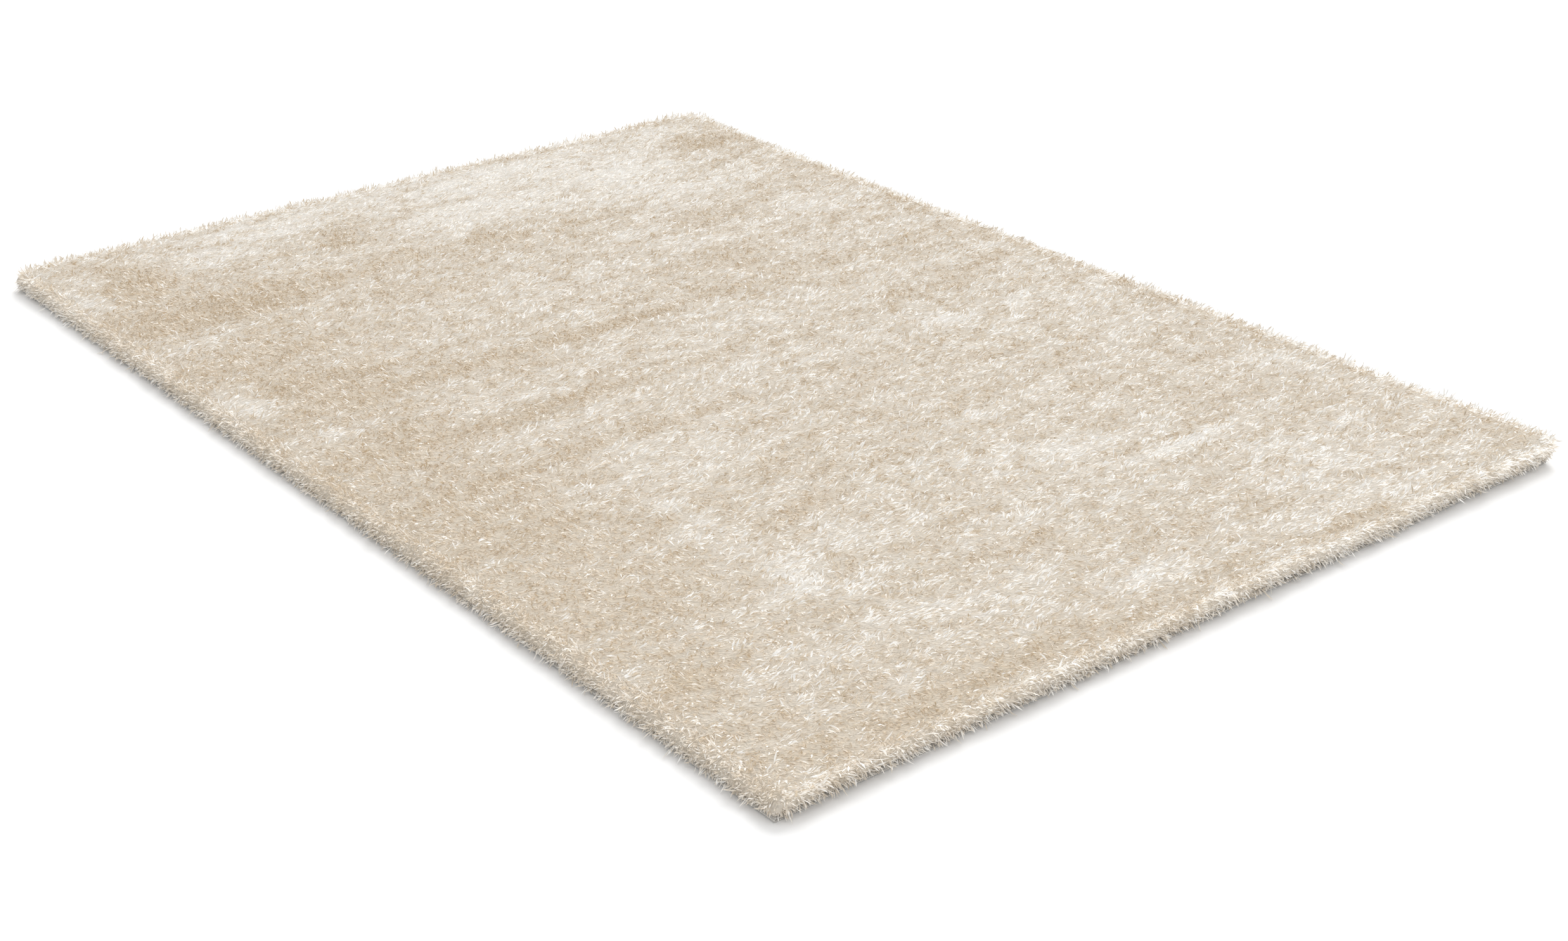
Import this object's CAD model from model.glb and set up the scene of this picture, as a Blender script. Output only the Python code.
"""A cream shag rug lying flat: its ground cloth, the bed of its pile, and the yarn ends on it.

Metres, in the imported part's own frame: +X along the rug's long side, +Y along its short side,
+Z up, with the floor at zero.
"""
import math
from collections import namedtuple

import bmesh
import bpy
import numpy as np
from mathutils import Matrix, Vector, noise


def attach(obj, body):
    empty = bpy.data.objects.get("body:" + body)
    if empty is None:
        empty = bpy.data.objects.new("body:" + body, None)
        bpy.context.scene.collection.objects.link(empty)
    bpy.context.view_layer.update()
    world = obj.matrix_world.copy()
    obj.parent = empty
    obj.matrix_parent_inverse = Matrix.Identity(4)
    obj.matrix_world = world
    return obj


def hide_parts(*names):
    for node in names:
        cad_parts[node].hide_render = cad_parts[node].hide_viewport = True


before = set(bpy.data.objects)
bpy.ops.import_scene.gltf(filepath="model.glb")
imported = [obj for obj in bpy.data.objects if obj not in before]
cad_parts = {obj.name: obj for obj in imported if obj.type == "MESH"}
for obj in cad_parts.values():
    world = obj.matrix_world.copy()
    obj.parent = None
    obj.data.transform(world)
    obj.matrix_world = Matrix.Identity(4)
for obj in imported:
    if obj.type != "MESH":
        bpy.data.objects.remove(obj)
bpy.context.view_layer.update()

# ---- the photograph's view ----
CAMERA_PLACE = (2.931, -2.237, 1.576)
CAMERA_HEADING = math.radians(140.79)  # from +X towards +Y
CAMERA_DROP = math.radians(25.72)      # below level
CAMERA_LENS = 52.14                    # mm
CAMERA_SENSOR = 36.0                   # mm wide

# ---- sizes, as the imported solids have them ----
HALF_LENGTH = 1.150
HALF_WIDTH = 0.800
CLOTH_THICKNESS = 0.0022
HEM_THICKNESS = 0.0070
HEM_WIDTH = 0.018
HEM_STITCH = 0.0005      # left between the hem's two layers
HEM_RAMP = 0.040         # how far in the cloth slopes up over its hem
CURL_DEPTH = 0.045       # how far in an edge curls up
CORNER_FAN = 0.045       # how far in the way out starts to fan round the corners
CORNER_ROUNDING = 0.016  # of the pile's outline in plan

# ---- the bed of packed yarn ----
BED_HEIGHT = 0.0380      # its top
BED_LUMP = 0.0030        # its lumps, up and down
BED_INSET = 0.018        # its flat top stops this far inside the cloth's edge
BED_SIDE = (             # down its side: outside the cloth's edge, height
    (-0.008, 0.0320),
    (-0.001, 0.0245),
    (0.0015, 0.0170),
    (0.0010, 0.0115),
    (-0.011, 0.0082),
    (-0.046, CLOTH_THICKNESS + 0.0003),
)
BED_CELLS = (140, 98)
CARRIED_FROM = 0.25      # below this share of its height the bed stays in its place
SETTLE_DEPTH = 0.040     # how far in the pile settles towards its rim
BED_SETTLE = 0.004       # and by how much
RISE_DEPTH = 0.080       # how far in a bulge of the rim raises the pile
SWELL_DEPTH = 0.060      # how far in it pushes the pile out
WAVE_DEPTH = 0.020       # how far in the rim wavers

# ---- yarn ends ----
MARGIN = 0.004           # of the pile's edge with no ends from the top
BAND_COUNT = 5           # the pile's yarn is made in bands across the rug
ROOT_DEPTH = 0.0023      # how deep in the bed the ends start
ROOT_SETTLE = 0.005      # how much deeper at the rim
LEAN_DEPTH = 0.025       # how far in from the rim the ends turn outwards
LOWEST_TIP = 0.0012      # yarn hanging over the rim stops this far above the floor
LOWEST_SIDE = LOWEST_TIP * 0.4  # and its sides this far
HIGHEST_TIP = 0.0550
LENGTHS = (0.75, 1.20)   # shares of the usual length
WIDTHS = (0.65, 1.25)    # and of the usual width
TILT_SCATTER = 0.22      # radians
AGAINST_TILT = 10.0      # degrees more upright where the yarn stands against the nap
TILT_LIMITS = (0.1, 1.9)
EDGE_TILTS = (-30.0, 25.0)  # degrees added at the rim
EDGE_OUTWARDS = (0.0, 1.6)  # how much the rim turns them outwards
KNEE_TILT, TIP_TILT = 0.75, 1.3  # shares of an end's tilt below its knee and above it
ROLL_SCATTER = 0.40      # radians that an end's flat side is turned by
CREASE = math.radians(75.0)  # a sharper edge on a yarn end is shaded as one

# Ends on top of the pile: how far apart they start, length, degrees from upright, width, how
# much they scatter in heading and at the tip, and the share of them that catch the light
# where the pile gleams.
Kind = namedtuple("Kind", "spacing length lean width spread stray gloss")
SOFT = Kind(0.0050, 0.0140, 74.0, 0.0029, 0.45, 0.0012, 0.80)
GLOSSY = Kind(0.0092, 0.0150, 64.0, 0.0023, 0.60, 0.0020, 0.95)

# ---- loose ends round the rim ----
RIM_YARNS = 22000        # round its upper part
FOOT_YARNS = 22000       # and round its foot
FOOT_SHARE = 0.55        # of the rim's height is its foot
FOOT_HEIGHT = 0.0085     # where the lowest of them start
RIM_SHORT = 0.0125       # how much less than the bed's whole height they start over
RIM_SPREAD = 0.70        # radians that their heading scatters by
RIM_NAP = 0.6            # how much the nap turns the highest of them
RIM_TILT = 118.0         # degrees from upright at the foot
RIM_STRAIGHTER = 62.0    # degrees less at the top
RIM_TILT_SCATTER = 0.38  # radians
RIM_TIP_TILTS = (0.6, 1.6)  # shares of their tilt past their knees
RIM_KNEE_LIMITS = (0.1, 2.1)
RIM_TIP_LIMITS = (0.1, 2.6)
RIM_INSET = 0.002        # how far in they start at the foot
RIM_TOP_INSET = 0.014    # and how much farther at the top
RIM_REACH = 0.0138       # their length
RIM_LENGTHS = (0.45, 1.2)
RIM_WIDTH = 0.0021
RIM_WIDTHS = (0.6, 1.3)
LONG_SHARE = 0.05        # of them are longer
LONG_BY = 0.7            # by this share of their length

# The hem's open end shows at the near corner, where no loose end hides it.
HEM_SHOWS_FROM = 1.110   # along the rug
HEM_SHOWS_WITHIN = 0.008  # of the cloth's long edge
HEM_CLEAR_ROOT = 0.016   # loose ends start no lower there
HEM_CLEAR_TIP = 0.009    # and hang no lower

# ---- looks ----
YARN_DEEP = (0.640, 0.543, 0.414)
YARN_BODY = (0.730, 0.659, 0.562)
YARN_BRIGHT = (0.97, 0.96, 0.935)
CLOTH_SHADED = (0.42, 0.40, 0.37)
CLOTH_BRIGHT = (0.72, 0.70, 0.66)
CLOTH_THREADS = 110.0    # how close they are, as a wave's scale
FLUFF_SIZE = (0.0070, 0.0026, 0.0050)  # of a fine end on the bed: along its nap, across, up
FLUFF_BENDS = 40.0       # in each metre
FLUFF_BENT = 7.0         # how far they bend its lie, in sizes of an end
FLUFF_HEIGHT = 0.002
BED_SHADE, BED_SHADE_BY_TONE = 0.45, 0.22

# How bright yarn is, from 0 to 1: its own, for each 1 of the pile's tone, for a side of the
# rim that the nap leans over, and how much it scatters.
Shade = namedtuple("Shade", "own by_tone by_nap scatter")
TOP_SHADE = Shade(0.35, 0.23, 0.18, 0.18)
RIM_SHADE = Shade(0.72, 0.12, 0.15, 0.18)
EDGE_BRIGHTER = 0.26     # the top's ends at the rim
GLINT_SHADE = (0.80, 1.0)
FEWEST_GLINTS = 0.14     # the share of a kind's gloss that is left where nothing gleams
GLEAM_BY_TONE = 0.8
GLEAM_FROM = 0.17        # the sum of noise and tone above which the pile starts to gleam
GLEAM_RAMP = 5.0         # and how fast it does
GLEAM_STEADIES = 0.5     # yarn that gleams turns about this much less
AGAINST_FROM = -0.1      # the tone below which yarn starts to stand against the nap
AGAINST_RAMP = 0.5       # and how much tone it takes to do so fully

# Headings of the lay in plan: along the brushed nap, and standing against it.
NAP_HEADING = math.radians(62.0)
AGAINST_HEADING = math.radians(-50.0)
NAP_WAY = np.array([math.cos(NAP_HEADING), math.sin(NAP_HEADING), 0.0])
NAP_LEAN = 0.013         # how far the top of the pile has leaned along its nap

# Slow noise: layers, each with its weight, and its waves in each metre along X and along Y.
Grain = namedtuple("Grain", "weight along_x along_y layer")
STREAKS = (Grain(0.5, 20.0, 3.0, 1), Grain(0.5, 60.0, 9.0, 2))
MOTTLE = (Grain(0.7, 38.0, 26.0, 3), Grain(0.6, 85.0, 60.0, 4))
LUMPS = (Grain(1.0, 62.0, 62.0, 5), Grain(0.7, 140.0, 140.0, 6))
TURNS = (Grain(1.0, 9.0, 9.0, 7), Grain(2.6, 48.0, 48.0, 8))
GLEAM = (Grain(1.2, 36.0, 18.0, 9), Grain(1.3, 80.0, 55.0, 10))
RIM_TURNS = (Grain(1.6, 90.0, 90.0, 11),)
TUFTS = (Grain(0.95, 80.0, 62.0, 12),)
WAVES = (Grain(0.0050, 26.0, 26.0, 13), Grain(0.0035, 75.0, 75.0, 14))

# Where the rug's edge curls off the floor: a place on the edge, spread along it, height.
Curl = namedtuple("Curl", "x y spread height")
EDGE_CURLS = (
    Curl(-0.54, -0.80, 0.07, 0.0030),
    Curl(-1.05, -0.80, 0.06, 0.0020),
    Curl(0.62, -0.80, 0.10, 0.0015),
    Curl(1.15, -0.68, 0.05, 0.0030),
    Curl(1.15, -0.40, 0.07, 0.0025),
    Curl(1.15, 0.10, 0.12, 0.0035),
    Curl(1.15, 0.56, 0.09, 0.0030),
    Curl(-1.15, 0.25, 0.12, 0.0020),
    Curl(0.30, 0.80, 0.10, 0.0020),
)

# Where the pile bulges at its rim: a place on the edge, spread, how far out, how far up.
Bulge = namedtuple("Bulge", "x y spread out rise")
RIM_BULGES = (
    Bulge(-1.15, -0.80, 0.12, 0.010, 0.003),
    Bulge(-1.15, -0.40, 0.30, 0.013, 0.005),
    Bulge(-1.15, 0.10, 0.30, 0.013, 0.005),
    Bulge(-1.15, 0.60, 0.30, 0.013, 0.005),
    Bulge(-1.15, 0.76, 0.14, 0.026, 0.008),
    Bulge(-0.80, 0.80, 0.25, 0.004, 0.005),
    Bulge(-0.40, 0.80, 0.30, 0.001, 0.005),
    Bulge(0.10, 0.80, 0.30, 0.001, 0.005),
    Bulge(0.60, 0.80, 0.30, 0.009, 0.005),
    Bulge(1.10, 0.80, 0.22, 0.016, 0.006),
    Bulge(1.15, -0.76, 0.05, 0.012, 0.002),
    Bulge(-0.20, -0.80, 0.40, 0.004, 0.0),
)

# Brushed patches: middle, reach, and tone. Yarn that is brushed up against the nap looks deep,
# at -1, and yarn that is laid over shows its bright sides, at +1.
Patch = namedtuple("Patch", "x y reach_x reach_y tone")
BRUSHED_PATCHES = (
    Patch(-0.94, 0.42, 0.18, 0.17, 1.0),
    Patch(-0.97, 0.17, 0.17, 0.12, 0.45),
    Patch(-0.89, 0.00, 0.09, 0.14, 0.55),
    Patch(-1.08, 0.05, 0.06, 0.20, 0.5),
    Patch(-1.07, -0.32, 0.08, 0.22, 0.8),
    Patch(-0.97, -0.49, 0.04, 0.10, 0.6),
    Patch(-0.73, 0.53, 0.06, 0.08, 0.4),
    Patch(-1.09, 0.70, 0.04, 0.08, 0.4),
    Patch(-0.48, 0.62, 0.05, 0.16, 0.15),
    Patch(-0.44, 0.30, 0.06, 0.10, 0.2),
    Patch(0.03, 0.70, 0.05, 0.06, 0.4),
    Patch(0.17, 0.56, 0.022, 0.14, 0.7),
    Patch(0.15, 0.40, 0.035, 0.04, 0.7),
    Patch(0.67, 0.71, 0.05, 0.06, 0.6),
    Patch(0.89, 0.53, 0.04, 0.12, 0.5),
    Patch(0.98, 0.45, 0.05, 0.18, 0.4),
    Patch(0.78, 0.31, 0.022, 0.12, 1.0),
    Patch(0.69, 0.17, 0.04, 0.06, 0.7),
    Patch(0.50, -0.43, 0.08, 0.022, 0.8),
    Patch(0.73, -0.43, 0.08, 0.030, 0.8),
    Patch(0.71, -0.30, 0.03, 0.05, 0.25),
    Patch(-0.29, -0.76, 0.07, 0.035, 1.4),
    Patch(-1.00, -0.72, 0.03, 0.03, 1.0),
    Patch(-0.90, -0.77, 0.05, 0.02, 1.0),
    Patch(-0.09, -0.71, 0.04, 0.05, 0.6),
    Patch(0.09, -0.02, 0.025, 0.14, 0.5),
    Patch(-0.10, 0.08, 0.06, 0.10, 0.3),
    Patch(0.30, -0.30, 0.06, 0.10, 0.3),
    Patch(1.05, -0.02, 0.03, 0.05, 0.6),
    Patch(0.95, -0.62, 0.04, 0.08, 0.4),
    Patch(-0.96, 0.70, 0.05, 0.09, -1.3),
    Patch(-0.70, 0.22, 0.018, 0.16, -0.5),
    Patch(-0.74, 0.00, 0.03, 0.10, -0.5),
    Patch(-0.75, -0.26, 0.06, 0.12, -0.35),
    Patch(-0.91, -0.23, 0.06, 0.05, -0.7),
    Patch(-0.94, -0.66, 0.08, 0.06, -1.8),
    Patch(-0.74, -0.60, 0.07, 0.16, -1.3),
    Patch(-0.58, 0.42, 0.04, 0.12, -0.3),
    Patch(-0.36, 0.30, 0.03, 0.12, -0.2),
    Patch(-0.48, -0.60, 0.030, 0.15, -0.8),
    Patch(-0.32, -0.60, 0.040, 0.14, -0.8),
    Patch(-0.21, 0.20, 0.022, 0.60, -0.6),
    Patch(-0.21, -0.45, 0.028, 0.35, -0.9),
    Patch(0.02, -0.44, 0.022, 0.30, -1.0),
    Patch(0.20, -0.46, 0.018, 0.28, -0.4),
    Patch(0.40, -0.60, 0.025, 0.13, -0.5),
    Patch(0.57, -0.27, 0.025, 0.07, -0.5),
    Patch(0.86, -0.20, 0.035, 0.17, -0.4),
    Patch(0.86, -0.71, 0.030, 0.07, -1.0),
    Patch(1.11, -0.43, 0.035, 0.32, -1.0),
    Patch(0.25, -0.68, 0.90, 0.17, -0.50),
    Patch(-0.45, 0.79, 0.70, 0.02, -0.3),
    Patch(0.45, 0.78, 0.55, 0.02, -0.4),
)
PATCH_STRENGTH = 1.25
STRONGEST_TONE = 1.4

# Lamps: which way each is, how wide it looks from the rug, and how strong it is.
Lamp = namedtuple("Lamp", "name place spread strength")
LAMPS = (
    Lamp("far_lamp", (-2.2, 2.4, 2.6), math.radians(36.0), 1.82),
    Lamp("top_lamp", (0.4, 0.2, 3.4), math.radians(70.0), 0.58),
    Lamp("near_lamp", (3.2, -1.2, 1.0), math.radians(50.0), 0.64),
)
STUDIO_LIGHT = 0.60      # from all round
FLOOR_HALF = 30.0
FLOOR_DROP = 0.0004      # just below the rug


# ---------------------------------------------------------------- the lie of the rug

def closeness(inside, depth):
    """From 0 at a depth in from the cloth's edge, and farther in, to 1 at the edge."""
    return 1.0 - np.clip(inside / depth, 0.0, 1.0)


def edge_curl(x, y):
    """How far the rug's edge is off the floor at places in plan."""
    inside = np.minimum(HALF_LENGTH - np.abs(x), HALF_WIDTH - np.abs(y))
    lift = sum(
        curl.height * np.exp(-((x - curl.x) ** 2 + (y - curl.y) ** 2) / curl.spread ** 2)
        for curl in EDGE_CURLS
    )
    return lift * closeness(inside, CURL_DEPTH) ** 2


def drift(x, y, grains):
    """Slow noise at places in plan: the sum of some grains."""
    apart = 7.3  # between layers
    return sum(
        grain.weight * np.array([
            noise.noise(Vector((a * grain.along_x, b * grain.along_y, grain.layer * apart)))
            for a, b in zip(x, y)
        ])
        for grain in grains
    )


def tone_at(x, y):
    """How bright the pile looks at places in plan, mostly from -1 to 1: the brushed patches,
    with streaks across the rug and mottling over them."""
    patches = sum(
        patch.tone * np.exp(
            -((x - patch.x) / patch.reach_x) ** 2 - ((y - patch.y) / patch.reach_y) ** 2
        )
        for patch in BRUSHED_PATCHES
    )
    tone = PATCH_STRENGTH * patches + drift(x, y, STREAKS) + drift(x, y, MOTTLE)
    return np.clip(tone, -STRONGEST_TONE, STRONGEST_TONE)


def carried_at(height):
    """How much of its lean and of its rim's bulge the pile has at a height."""
    return np.maximum(height / BED_HEIGHT - CARRIED_FROM, 0.0)


def leaned(share):
    """How far along X and along Y the nap carries the pile, for a share of its whole lean."""
    lean = NAP_LEAN * share
    return lean * math.cos(NAP_HEADING), lean * math.sin(NAP_HEADING)


def edge_frame(x, y):
    """Distance in from the cloth's edge, and the way out, fanning round the corners."""
    inner_x = np.clip(x, CORNER_FAN - HALF_LENGTH, HALF_LENGTH - CORNER_FAN)
    inner_y = np.clip(y, CORNER_FAN - HALF_WIDTH, HALF_WIDTH - CORNER_FAN)
    away = np.stack([x - inner_x, y - inner_y, np.zeros_like(x)], axis=1)
    reach = np.linalg.norm(away, axis=1)
    out = away / np.maximum(reach, 1e-6)[:, None]
    return CORNER_FAN - reach, out


# ---------------------------------------------------------------- meshes and objects

def places_of(bm):
    """Where the vertices are, in their order."""
    return np.array([vert.co[:] for vert in bm.verts])


def extruded(bm, edges):
    """Extrudes edges, and gives the new vertices and the new edges."""
    drawn = bmesh.ops.extrude_edge_only(bm, edges=edges)["geom"]
    verts = [item for item in drawn if isinstance(item, bmesh.types.BMVert)]
    edges = [item for item in drawn if isinstance(item, bmesh.types.BMEdge)]
    return verts, edges


def face_outwards(bm):
    """Turns the faces of a closed mesh outwards."""
    bmesh.ops.recalc_face_normals(bm, faces=bm.faces)
    if bm.calc_volume(signed=True) < 0.0:
        bmesh.ops.reverse_faces(bm, faces=bm.faces)


def mesh_from(bm, name):
    """A named mesh, in place of the one that was edited."""
    mesh = bpy.data.meshes.new(name)
    bm.to_mesh(mesh)
    bm.free()
    return mesh


def add(name, data):
    """A new object in the scene."""
    made = bpy.data.objects.new(name, data)
    bpy.context.scene.collection.objects.link(made)
    return made


# ---------------------------------------------------------------- materials

def new_material(name):
    """A named material with its node tree and its shader."""
    material = bpy.data.materials.new(name)
    material.use_nodes = True
    nodes = material.node_tree.nodes
    return material, nodes, material.node_tree.links, nodes["Principled BSDF"]


def shaded_by(nodes, links, colour, value, span, factors):
    """A colour made darker or brighter by a value: by the first factor where the value is at
    the start of its span, and by the second at its end."""
    shade = nodes.new("ShaderNodeMapRange")
    shade.inputs["From Min"].default_value, shade.inputs["From Max"].default_value = span
    shade.inputs["To Min"].default_value, shade.inputs["To Max"].default_value = factors
    links.new(value, shade.inputs["Value"])
    shaded = nodes.new("ShaderNodeVectorMath")
    shaded.operation = "SCALE"
    links.new(colour, shaded.inputs[0])
    links.new(shade.outputs["Result"], shaded.inputs["Scale"])
    return shaded.outputs["Vector"]


def bumpy(nodes, links, shader, height, strength, distance, invert=False):
    """Roughens a shader's surface by a height."""
    bump = nodes.new("ShaderNodeBump")
    bump.invert = invert
    bump.inputs["Strength"].default_value = strength
    bump.inputs["Distance"].default_value = distance
    links.new(height, bump.inputs["Height"])
    links.new(bump.outputs["Normal"], shader.inputs["Normal"])


def yarn_material(name, roughness, sheen, filaments=0.0, fluff=0.0):
    """Polyester yarn shaded by its tone, with a soft gloss. filaments streaks each end along
    its length, and fluff adds the fine ends that the mesh leaves out, as a bump."""
    material, nodes, links, shader = new_material(name)
    tone = nodes.new("ShaderNodeAttribute")
    tone.attribute_name = "tone"
    ramp = nodes.new("ShaderNodeValToRGB")
    ramp.color_ramp.elements[0].color = (*YARN_DEEP, 1.0)
    ramp.color_ramp.elements[1].color = (*YARN_BRIGHT, 1.0)
    middle = ramp.color_ramp.elements.new(0.5)
    middle.color = (*YARN_BODY, 1.0)
    links.new(tone.outputs["Fac"], ramp.inputs["Fac"])
    colour = ramp.outputs["Color"]
    if filaments:
        place = nodes.new("ShaderNodeUVMap")
        place.uv_map = "lengthwise"
        streaks = nodes.new("ShaderNodeTexNoise")
        streaks.noise_dimensions = "2D"
        streaks.inputs["Scale"].default_value = 1.0
        streaks.inputs["Detail"].default_value = 1.0
        links.new(place.outputs["UV"], streaks.inputs["Vector"])
        colour = shaded_by(
            nodes, links, colour, streaks.outputs["Fac"],
            (0.3, 0.7), (1.0 - filaments, 1.0 + filaments),
        )
    if fluff:
        place = nodes.new("ShaderNodeTexCoord")
        nap = nodes.new("ShaderNodeMapping")
        nap.vector_type = "TEXTURE"
        nap.inputs["Rotation"].default_value = (0.0, 0.0, NAP_HEADING)
        nap.inputs["Scale"].default_value = FLUFF_SIZE
        links.new(place.outputs["Object"], nap.inputs["Vector"])
        bends = nodes.new("ShaderNodeTexNoise")
        bends.inputs["Scale"].default_value = FLUFF_BENDS
        links.new(place.outputs["Object"], bends.inputs["Vector"])
        bent = nodes.new("ShaderNodeVectorMath")
        bent.operation = "MULTIPLY_ADD"
        bent.inputs[1].default_value = (FLUFF_BENT, FLUFF_BENT, FLUFF_BENT)
        links.new(bends.outputs["Color"], bent.inputs[0])
        links.new(nap.outputs["Vector"], bent.inputs[2])
        ends = nodes.new("ShaderNodeTexVoronoi")
        ends.feature = "SMOOTH_F1"
        ends.inputs["Smoothness"].default_value = 0.25
        ends.inputs["Scale"].default_value = 1.0
        links.new(bent.outputs["Vector"], ends.inputs["Vector"])
        distance = ends.outputs["Distance"]
        colour = shaded_by(nodes, links, colour, distance, (0.15, 0.75), (1.04, 1.0 - fluff))
        bumpy(nodes, links, shader, distance, 1.0, FLUFF_HEIGHT, invert=True)
    links.new(colour, shader.inputs["Base Color"])
    shader.inputs["Roughness"].default_value = roughness
    shader.inputs["Sheen Weight"].default_value = sheen
    shader.inputs["Sheen Roughness"].default_value = 0.4
    shader.inputs["Specular IOR Level"].default_value = 0.35
    return material


def cloth_material():
    """Plain-woven off-white cotton, its threads crossing along the cloth's own map."""
    material, nodes, links, shader = new_material("woven_ground_cloth")
    place = nodes.new("ShaderNodeUVMap")
    place.uv_map = "weave"
    threads = []
    for direction in ("X", "Y"):
        wave = nodes.new("ShaderNodeTexWave")
        wave.bands_direction = direction
        wave.inputs["Scale"].default_value = CLOTH_THREADS
        wave.inputs["Distortion"].default_value = 0.6
        links.new(place.outputs["UV"], wave.inputs["Vector"])
        threads.append(wave)
    crossed = nodes.new("ShaderNodeMath")
    crossed.operation = "MULTIPLY"
    links.new(threads[0].outputs["Fac"], crossed.inputs[0])
    links.new(threads[1].outputs["Fac"], crossed.inputs[1])
    ramp = nodes.new("ShaderNodeValToRGB")
    ramp.color_ramp.elements[0].color = (*CLOTH_SHADED, 1.0)
    ramp.color_ramp.elements[1].color = (*CLOTH_BRIGHT, 1.0)
    links.new(crossed.outputs["Value"], ramp.inputs["Fac"])
    links.new(ramp.outputs["Color"], shader.inputs["Base Color"])
    bumpy(nodes, links, shader, crossed.outputs["Value"], 0.6, 0.0006)
    shader.inputs["Roughness"].default_value = 0.85
    return material


# ---------------------------------------------------------------- ground cloth

def cloth_section():
    """The cloth's middle line across the rug, as (y, height), hem to hem."""
    half = CLOTH_THICKNESS / 2
    roll = (HEM_THICKNESS - CLOTH_THICKNESS) / 2
    stitched = CLOTH_THICKNESS + HEM_STITCH + half
    hem = [
        (HEM_RAMP, half),
        (HEM_RAMP * 0.75, half + 0.25 * (stitched - half)),
        (HEM_WIDTH + half, stitched),
        (HEM_WIDTH * 0.6, stitched + 0.4 * roll),
    ]
    steps = 10
    for step in range(steps + 1):
        turn = math.pi / 2 - math.pi * step / steps
        hem.append((
            HEM_THICKNESS / 2 - roll * math.cos(turn),
            half + roll * (1.0 + math.sin(turn)),
        ))
    hem += [(HEM_WIDTH * 0.6, half), (HEM_WIDTH, half)]
    left = [(inset - HALF_WIDTH, height) for inset, height in reversed(hem)]
    right = [(HALF_WIDTH - inset, height) for inset, height in hem]
    strips = 24
    flat_width = 2 * (HALF_WIDTH - HEM_RAMP)
    flat = [(-flat_width / 2 + flat_width * row / strips, half) for row in range(1, strips)]
    return left + flat + right


def ground_cloth():
    """The woven sheet with its turned side hems."""
    section = cloth_section()
    columns = 92
    step = 2 * HALF_LENGTH / columns
    bm = bmesh.new()
    row = [bm.verts.new((-HALF_LENGTH, y, z)) for y, z in section]
    edges = [bm.edges.new(pair) for pair in zip(row, row[1:])]
    for _ in range(columns):
        verts, edges = extruded(bm, edges)
        bmesh.ops.translate(bm, verts=verts, vec=(step, 0.0, 0.0))
    bmesh.ops.recalc_face_normals(bm, faces=bm.faces)

    along = [0.0]
    for before, after in zip(section, section[1:]):
        along.append(along[-1] + math.dist(before, after))
    along_at = {(round(y, 5), round(z, 5)): s for (y, z), s in zip(section, along)}
    weave = bm.loops.layers.uv.new("weave")
    for face in bm.faces:
        for loop in face.loops:
            co = loop.vert.co
            loop[weave].uv = (co.x, along_at[(round(co.y, 5), round(co.z, 5))])
    places = places_of(bm)
    for vert, lift in zip(bm.verts, edge_curl(places[:, 0], places[:, 1])):
        vert.co.z += lift

    mesh = mesh_from(bm, "woven_cloth")
    mesh.materials.append(cloth_material())
    mesh.shade_smooth()
    cloth = add("woven_cloth", mesh)
    thickness = cloth.modifiers.new("thickness", "SOLIDIFY")
    thickness.thickness = CLOTH_THICKNESS
    thickness.offset = 0.0
    thickness.use_even_offset = True
    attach(cloth, "root")
    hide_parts("ground_cloth")
    return cloth, along[-1]


# ---------------------------------------------------------------- the bed of the pile

def bulge(x, y, depth):
    """How far the pile bulges out and up at places in plan, within a depth of its rim."""
    near_rim = closeness(edge_frame(x, y)[0], depth)
    out, rise, most = 0.0, 0.0, 0.0
    for spot in RIM_BULGES:
        share = np.exp(-((x - spot.x) ** 2 + (y - spot.y) ** 2) / spot.spread ** 2)
        out, rise, most = out + share * spot.out, rise + share * spot.rise, most + share
    most = np.maximum(most, 1.0)
    return near_rim * out / most, near_rim * rise / most


def bed_top(x, y):
    """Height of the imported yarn's top at places in plan, before the edge curls it."""
    return BED_HEIGHT + BED_LUMP * drift(x, y, LUMPS) + bulge(x, y, RISE_DEPTH)[1]


def rim_swell(x, y):
    """How far the pile's rim swells out of its straight line at places in plan, as vectors."""
    inside, out = edge_frame(x, y)
    waves = drift(x, y, WAVES) * closeness(inside, WAVE_DEPTH)
    swell = waves + bulge(x, y, SWELL_DEPTH)[0]
    return swell[:, None] * out


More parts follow.
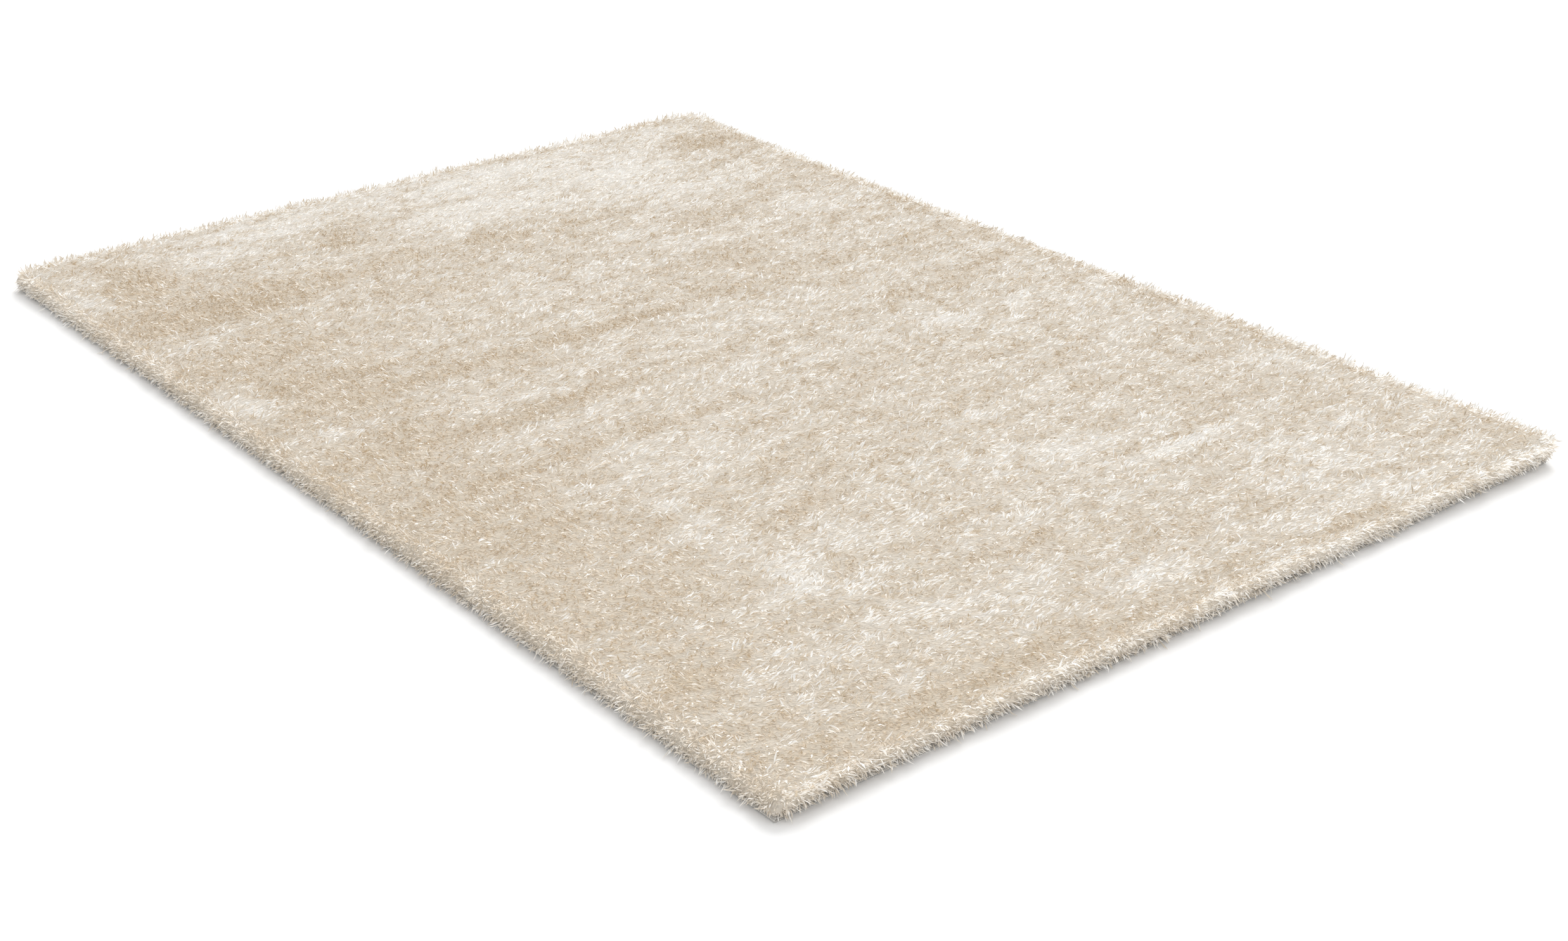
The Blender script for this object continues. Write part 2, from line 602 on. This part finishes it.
def pile_bed():
    """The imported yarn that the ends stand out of: a lumpy slab with rounded sides."""
    bm = bmesh.new()
    cells_long, cells_short = BED_CELLS
    bmesh.ops.create_grid(bm, x_segments=cells_long, y_segments=cells_short, size=1.0)
    out_now = -BED_INSET
    bmesh.ops.scale(bm, verts=bm.verts, vec=(HALF_LENGTH + out_now, HALF_WIDTH + out_now, 1.0))
    places = places_of(bm)
    settle = closeness(edge_frame(places[:, 0], places[:, 1])[0], SETTLE_DEPTH)
    for vert, top, share in zip(bm.verts, bed_top(places[:, 0], places[:, 1]), settle):
        vert.co.z = top - BED_SETTLE * share
    rim = [edge for edge in bm.edges if edge.is_boundary]
    for out, height in BED_SIDE:
        verts, rim = extruded(bm, rim)
        wider = (
            (HALF_LENGTH + out) / (HALF_LENGTH + out_now),
            (HALF_WIDTH + out) / (HALF_WIDTH + out_now),
            1.0,
        )
        bmesh.ops.scale(bm, verts=verts, vec=wider)
        out_now = out
        for vert in verts:
            vert.co.z = height
    underside = bmesh.ops.contextual_create(bm, geom=rim)["faces"]
    bmesh.ops.poke(bm, faces=underside)
    places = places_of(bm)
    swell = rim_swell(places[:, 0], places[:, 1])
    carried = carried_at(places[:, 2])
    lift = edge_curl(places[:, 0], places[:, 1])
    push = carried[:, None] * swell + np.stack([*leaned(carried), lift], axis=1)
    for vert, step in zip(bm.verts, push):
        vert.co += Vector(step)
    places = places_of(bm)
    face_outwards(bm)

    mesh = mesh_from(bm, "pile_bed")
    shade = BED_SHADE + BED_SHADE_BY_TONE * tone_at(places[:, 0], places[:, 1])
    mesh.attributes.new("tone", "FLOAT", "POINT").data.foreach_set("value", shade)
    mesh.materials.append(
        yarn_material("packed_pile_yarn", roughness=0.8, sheen=0.1, fluff=0.21))
    mesh.shade_smooth()
    bed = add("pile_bed", mesh)
    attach(bed, "root")
    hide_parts("pile")
    return bed


# ---------------------------------------------------------------- yarn ends

YarnEnd = namedtuple("YarnEnd", "places tris corner_uv lengthwise")


def yarn_end(widest_at, crown):
    """One flat yarn end, standing from 0 at its root to 1 at its tip: a low roof of two faces
    over a keel of two. widest_at is how far up it is widest, and crown how far the roof's
    ridge stands off the keel, for a width of 1."""
    bm = bmesh.new()
    bmesh.ops.create_cone(
        bm, cap_ends=True, segments=3, radius1=0.5, radius2=0.0, depth=1.0)
    tip = max(bm.verts, key=lambda vert: vert.co.z)
    left, root, right = sorted(
        (vert for vert in bm.verts if vert is not tip), key=lambda vert: vert.co.x)
    root.co = (0.0, 0.0, 0.0)
    left.co = (-0.5, crown, widest_at)
    right.co = (0.5, crown, widest_at)
    tip.co = (0.0, 0.0, 1.0)
    face_outwards(bm)
    bm.verts.index_update()
    streaks_across, streaks_along = 5.0, 1.6
    corner_uv, lengthwise = [], []
    for face in bm.faces:
        middle = 0.75 if face.normal.y < 0.0 else 0.25
        for loop in face.loops:
            across, _, along = loop.vert.co
            corner_uv.append((middle + 0.45 * across, along))
            lengthwise.append((streaks_across * across, streaks_along * along))
    end = YarnEnd(
        places_of(bm),
        np.array([[loop.vert.index for loop in face.loops] for face in bm.faces]),
        np.array(corner_uv),
        np.array(lengthwise),
    )
    bm.free()
    return end


Yarns = namedtuple("Yarns", "root knee tip width tone")


def unit(vectors):
    return vectors / np.maximum(np.linalg.norm(vectors, axis=1), 1e-9)[:, None]


def plant(end, yarns, dice):
    """Every yarn as a bent copy of one end: vertices, triangles, corners on the bake's map
    and along the yarn, and tone."""
    count, size = len(yarns.root), len(end.places)
    t = end.places[None, :, 2, None]
    curve = (
        (1 - t) ** 2 * yarns.root[:, None]
        + 2 * t * (1 - t) * yarns.knee[:, None]
        + t ** 2 * yarns.tip[:, None]
    )
    axis = unit(yarns.tip - yarns.root)
    level = unit(np.cross(axis, [0.0, 0.0, 1.0]) + 1e-4)
    upper = np.cross(axis, level)
    roll = dice.normal(0.0, ROLL_SCATTER, count)[:, None]
    side = np.cos(roll) * level + np.sin(roll) * upper
    thick = np.cos(roll) * upper - np.sin(roll) * level
    side = side * yarns.width[:, None]
    thick = thick * yarns.width[:, None]
    verts = curve + end.places[None, :, 0, None] * side[:, None]
    verts += end.places[None, :, 1, None] * thick[:, None]
    verts[..., 2] = np.maximum(verts[..., 2], LOWEST_SIDE)
    tris = end.tris[None] + size * np.arange(count)[:, None, None]
    columns = math.ceil(math.sqrt(count))
    cell = np.stack([np.arange(count) % columns, np.arange(count) // columns], axis=1)
    gap = 0.08  # round each yarn's own cell of the bake's map
    corners = (cell[:, None] + gap + (1.0 - 2 * gap) * end.corner_uv[None]) / columns
    farthest = 500.0  # each yarn has streaks from a place of its own
    lengthwise = end.lengthwise[None] + dice.uniform(0.0, farthest, (count, 1, 2))
    tone = np.repeat(yarns.tone, size)
    return (verts.reshape(-1, 3), tris.reshape(-1, 3), corners.reshape(-1, 2),
            lengthwise.reshape(-1, 2), tone)


def yarn_piece(name, lots, materials, dice, dense=False):
    """A piece of many yarn ends. lots is (end, yarns) for each of the materials. The yarn is
    thin and lets light through, so it throws no shadow from a lamp unless it is dense."""
    verts, tris, corners, along, tones, slots = [], [], [], [], [], []
    base = 0
    for index, (end, yarns) in enumerate(lots):
        v, f, uv, lengthwise, tone = plant(end, yarns, dice)
        verts.append(v)
        tris.append(f + base)
        base += len(v)
        corners.append(uv * [1 / len(lots), 1.0] + [index / len(lots), 0.0])
        along.append(lengthwise)
        tones.append(tone)
        slots.append(np.full(len(f), index, dtype=np.int32))
    mesh = bpy.data.meshes.new(name)
    mesh.from_pydata(np.concatenate(verts), [], np.concatenate(tris))
    mesh.uv_layers.new(name="OFBake").data.foreach_set("uv", np.concatenate(corners).ravel())
    mesh.uv_layers.new(name="lengthwise").data.foreach_set("uv", np.concatenate(along).ravel())
    layer = mesh.attributes.new("tone", "FLOAT", "POINT")
    layer.data.foreach_set("value", np.concatenate(tones).astype(np.float32))
    mesh.polygons.foreach_set("material_index", np.concatenate(slots))
    for material in materials:
        mesh.materials.append(material)
    mesh.shade_smooth()
    mesh.set_sharp_from_angle(angle=CREASE)
    piece = add(name, mesh)
    piece.visible_shadow = dense
    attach(piece, "root")
    return piece


def scatter(spacing, x_from, x_to, dice):
    """Places in plan on an uneven grid over one band of the rug."""
    columns = round((x_to - x_from) / spacing)
    rows = round(2 * (HALF_WIDTH - MARGIN) / spacing)
    x, y = np.meshgrid(
        x_from + (np.arange(columns) + 0.5) * (x_to - x_from) / columns,
        (MARGIN - HALF_WIDTH) + (np.arange(rows) + 0.5) * 2 * (HALF_WIDTH - MARGIN) / rows,
    )
    x, y = x.ravel(), y.ravel()
    x = x + dice.uniform(-0.5, 0.5, len(x)) * spacing
    y = y + dice.uniform(-0.5, 0.5, len(y)) * spacing
    kept = edge_frame(x, y)[0] > MARGIN
    return x[kept], y[kept]


def bend(root, lie, tilt, late, reach):
    """The knee and the tip of yarn that leans from upright by tilt, and past its knee by
    late."""
    knee_and_tip = []
    place = root
    for lean in (tilt, late):
        step = np.sin(lean)[:, None] * lie
        step[:, 2] = np.cos(lean)
        place = place + 0.5 * reach[:, None] * step
        knee_and_tip.append(place)
    return knee_and_tip


def grow(x, y, kind, dice):
    """Yarn ends of one kind from places in plan: bent over along the brushed nap, or standing
    against it where a patch is dark, and turned outwards and down near the rim."""
    count = len(x)
    tone = tone_at(x, y)
    gleam = drift(x, y, GLEAM) + GLEAM_BY_TONE * tone
    gleam = np.clip(GLEAM_RAMP * (gleam - GLEAM_FROM), 0.0, 1.0)
    against = np.clip((AGAINST_FROM - tone) / AGAINST_RAMP, 0.0, 1.0)
    turn = drift(x, y, TURNS) + dice.normal(0.0, kind.spread, count)
    heading = NAP_HEADING + (AGAINST_HEADING - NAP_HEADING) * against
    heading = heading + (1.0 - GLEAM_STEADIES * gleam) * turn
    lie = np.stack([np.cos(heading), np.sin(heading), np.zeros(count)], axis=1)
    tilt = np.radians(kind.lean - AGAINST_TILT * against) + dice.normal(0.0, TILT_SCATTER, count)

    inside, out = edge_frame(x, y)
    rim = closeness(inside, LEAN_DEPTH)
    outwards = dice.uniform(*EDGE_OUTWARDS, count)
    lie = unit(lie + (out - 0.5 * lie) * outwards[:, None] * rim[:, None])
    tilt = tilt + rim * np.radians(dice.uniform(*EDGE_TILTS, count))
    tilt = np.clip(tilt, *TILT_LIMITS)

    reach = kind.length * dice.uniform(*LENGTHS, count)
    deeper = ROOT_SETTLE * closeness(inside, SETTLE_DEPTH) ** 2
    root = np.stack([x, y, bed_top(x, y) - ROOT_DEPTH - deeper + edge_curl(x, y)], axis=1)
    root[:, :2] += leaned(1.0 - CARRIED_FROM)
    root += rim_swell(x, y)
    knee, tip = bend(root, lie, KNEE_TILT * tilt, TIP_TILT * tilt, reach)
    tip += dice.normal(0.0, kind.stray, (count, 3))
    tip[:, 2] = np.clip(tip[:, 2], LOWEST_TIP, HIGHEST_TIP)

    shade = TOP_SHADE.own + TOP_SHADE.by_tone * tone + drift(x, y, TUFTS)
    shade = shade + dice.normal(0.0, TOP_SHADE.scatter, count)
    glinting = kind.gloss * (FEWEST_GLINTS + (1.0 - FEWEST_GLINTS) * gleam)
    glints = dice.uniform(0.0, 1.0, count) < glinting
    shade = np.where(glints, dice.uniform(*GLINT_SHADE, count), shade)
    shade = shade + (EDGE_BRIGHTER + TOP_SHADE.by_nap * (out @ NAP_WAY)) * rim
    width = kind.width * dice.uniform(*WIDTHS, count)
    return Yarns(root, knee, tip, width, np.clip(shade, 0.0, 1.0))


def rim_path(count, dice):
    """Random places round the pile's rounded outline, with the way out and the way along."""
    straight_x = 2 * (HALF_LENGTH - CORNER_ROUNDING)
    straight_y = 2 * (HALF_WIDTH - CORNER_ROUNDING)
    arc = CORNER_ROUNDING * math.pi / 2
    sides = (  # middle of the side, the way out, its straight length, the corner after it
        ((HALF_LENGTH, 0.0), 0.0, straight_y),
        ((0.0, HALF_WIDTH), math.pi / 2, straight_x),
        ((-HALF_LENGTH, 0.0), math.pi, straight_y),
        ((0.0, -HALF_WIDTH), -math.pi / 2, straight_x),
    )
    whole = 2 * straight_x + 2 * straight_y + 4 * arc
    places, ways = [], []
    for (mid_x, mid_y), way, straight in sides:
        on_side = round(count * straight / whole)
        along = dice.uniform(-straight / 2, straight / 2, on_side)
        places.append(np.stack([
            mid_x - math.sin(way) * along, mid_y + math.cos(way) * along], axis=1))
        ways.append(np.full(on_side, way))
        in_corner = round(count * arc / whole)
        turn = way + dice.uniform(0.0, math.pi / 2, in_corner)
        centre = np.array([
            math.copysign(1.0, math.cos(way + math.pi / 4)) * (HALF_LENGTH - CORNER_ROUNDING),
            math.copysign(1.0, math.sin(way + math.pi / 4)) * (HALF_WIDTH - CORNER_ROUNDING),
        ])
        places.append(centre + CORNER_ROUNDING * np.stack([np.cos(turn), np.sin(turn)], axis=1))
        ways.append(turn)
    place, way = np.concatenate(places), np.concatenate(ways)
    level = np.zeros(len(way))
    out = np.stack([np.cos(way), np.sin(way), level], axis=1)
    along = np.stack([-np.sin(way), np.cos(way), level], axis=1)
    return place[:, 0], place[:, 1], out, along


def fringe(count, low, high, dice):
    """Loose ends all round the rim, from a low to a high share of its height: they droop at
    its foot, where they hide the cloth's edge, and stand out at its top."""
    x, y, out, along = rim_path(count, dice)
    count = len(x)
    share = dice.uniform(low, high, count)
    turn = dice.normal(0.0, RIM_SPREAD, count) + drift(x, y, RIM_TURNS)
    lie = np.cos(turn)[:, None] * out + np.sin(turn)[:, None] * along
    lie = unit(lie + RIM_NAP * share[:, None] * NAP_WAY)
    tilt = np.radians(RIM_TILT - RIM_STRAIGHTER * share ** 0.7)
    tilt = tilt + dice.normal(0.0, RIM_TILT_SCATTER, count)
    late = tilt * dice.uniform(*RIM_TIP_TILTS, count)
    reach = RIM_REACH * dice.uniform(*RIM_LENGTHS, count)
    reach *= 1.0 + LONG_BY * (dice.uniform(0.0, 1.0, count) < LONG_SHARE)

    height = FOOT_HEIGHT + (bed_top(x, y) - RIM_SHORT) * share
    hem_shows = (x > HEM_SHOWS_FROM) & (y < -HALF_WIDTH + HEM_SHOWS_WITHIN)
    height = np.where(hem_shows, np.maximum(height, HEM_CLEAR_ROOT), height)
    root = np.stack([x, y, height + edge_curl(x, y)], axis=1)
    root -= (RIM_INSET + RIM_TOP_INSET * share ** 3)[:, None] * out
    carried = carried_at(height)
    root += carried[:, None] * rim_swell(x, y)
    root[:, :2] += np.stack(leaned(carried), axis=1)
    tilt, late = np.clip(tilt, *RIM_KNEE_LIMITS), np.clip(late, *RIM_TIP_LIMITS)
    knee, tip = bend(root, lie, tilt, late, reach)
    lowest = np.where(hem_shows, HEM_CLEAR_TIP, LOWEST_TIP)
    knee[:, 2] = np.maximum(knee[:, 2], lowest)
    tip[:, 2] = np.clip(tip[:, 2], lowest, HIGHEST_TIP)

    shade = RIM_SHADE.own + RIM_SHADE.by_tone * tone_at(x, y)
    shade = shade + dice.normal(0.0, RIM_SHADE.scatter, count)
    shade += RIM_SHADE.by_nap * share * (out @ NAP_WAY)
    width = RIM_WIDTH * dice.uniform(*RIM_WIDTHS, count)
    return Yarns(root, knee, tip, width, np.clip(shade, 0.0, 1.0))


def pile_yarn():
    """All the yarn ends: bands across the rug of soft and glossy ends, and the rim's own."""
    materials = (
        yarn_material("soft_pile_yarn", roughness=0.55, sheen=0.15, filaments=0.16),
        yarn_material("glossy_pile_yarn", roughness=0.28, sheen=0.1, filaments=0.08),
    )
    kinds = (
        (yarn_end(widest_at=0.62, crown=0.12), SOFT),
        (yarn_end(widest_at=0.55, crown=0.20), GLOSSY),
    )
    dice = np.random.default_rng(11)
    pieces = []
    length = 2 * (HALF_LENGTH - MARGIN) / BAND_COUNT
    for band in range(BAND_COUNT):
        x_from = -HALF_LENGTH + MARGIN + band * length
        lots = []
        for end, kind in kinds:
            x, y = scatter(kind.spacing, x_from, x_from + length, dice)
            lots.append((end, grow(x, y, kind, dice)))
        pieces.append(yarn_piece(f"pile_yarn_{band + 1}", lots, materials, dice))
    rim_end = yarn_end(widest_at=0.64, crown=0.15)
    rim = fringe(RIM_YARNS, FOOT_SHARE, 1.0, dice)
    pieces.append(yarn_piece("rim_yarn", ((rim_end, rim),), materials[:1], dice))
    foot = fringe(FOOT_YARNS, 0.0, FOOT_SHARE, dice)
    pieces.append(yarn_piece("foot_yarn", ((rim_end, foot),), materials[:1], dice, dense=True))
    return pieces


# ---------------------------------------------------------------- stage, light and camera

def stage():
    """A plain pale floor."""
    bm = bmesh.new()
    bmesh.ops.create_grid(bm, x_segments=1, y_segments=1, size=FLOOR_HALF)
    bmesh.ops.translate(bm, verts=bm.verts, vec=(0.0, 0.0, -FLOOR_DROP))
    mesh = mesh_from(bm, "floor")
    material, _, _, shader = new_material("pale_floor")
    shader.inputs["Base Color"].default_value = (0.96, 0.96, 0.96, 1.0)
    shader.inputs["Roughness"].default_value = 0.9
    mesh.materials.append(material)
    add("floor", mesh)


def lights():
    """Large studio lamps, so far off that they light the whole floor evenly, and soft light
    from all round."""
    for lamp in LAMPS:
        data = bpy.data.lights.new(lamp.name, "SUN")
        data.angle = lamp.spread
        data.energy = lamp.strength
        made = add(lamp.name, data)
        made.location = lamp.place
        made.rotation_euler = (-Vector(lamp.place)).to_track_quat("-Z", "Y").to_euler()
    world = bpy.data.worlds.new("studio")
    world.use_nodes = True
    background = world.node_tree.nodes["Background"]
    background.inputs["Color"].default_value = (1.0, 1.0, 1.0, 1.0)
    background.inputs["Strength"].default_value = STUDIO_LIGHT
    bpy.context.scene.world = world
    bpy.context.scene.view_settings.view_transform = "Standard"


def camera():
    """The photograph's view."""
    data = bpy.data.cameras.new("camera")
    data.lens = CAMERA_LENS
    data.sensor_width = CAMERA_SENSOR
    view = add("camera", data)
    view.location = CAMERA_PLACE
    ahead = Vector((
        math.cos(CAMERA_HEADING) * math.cos(CAMERA_DROP),
        math.sin(CAMERA_HEADING) * math.cos(CAMERA_DROP),
        -math.sin(CAMERA_DROP),
    ))
    view.rotation_euler = ahead.to_track_quat("-Z", "Y").to_euler()
    bpy.context.scene.camera = view


camera()
stage()
lights()
cloth, cloth_cut_width = ground_cloth()
bed = pile_bed()
yarns = pile_yarn()
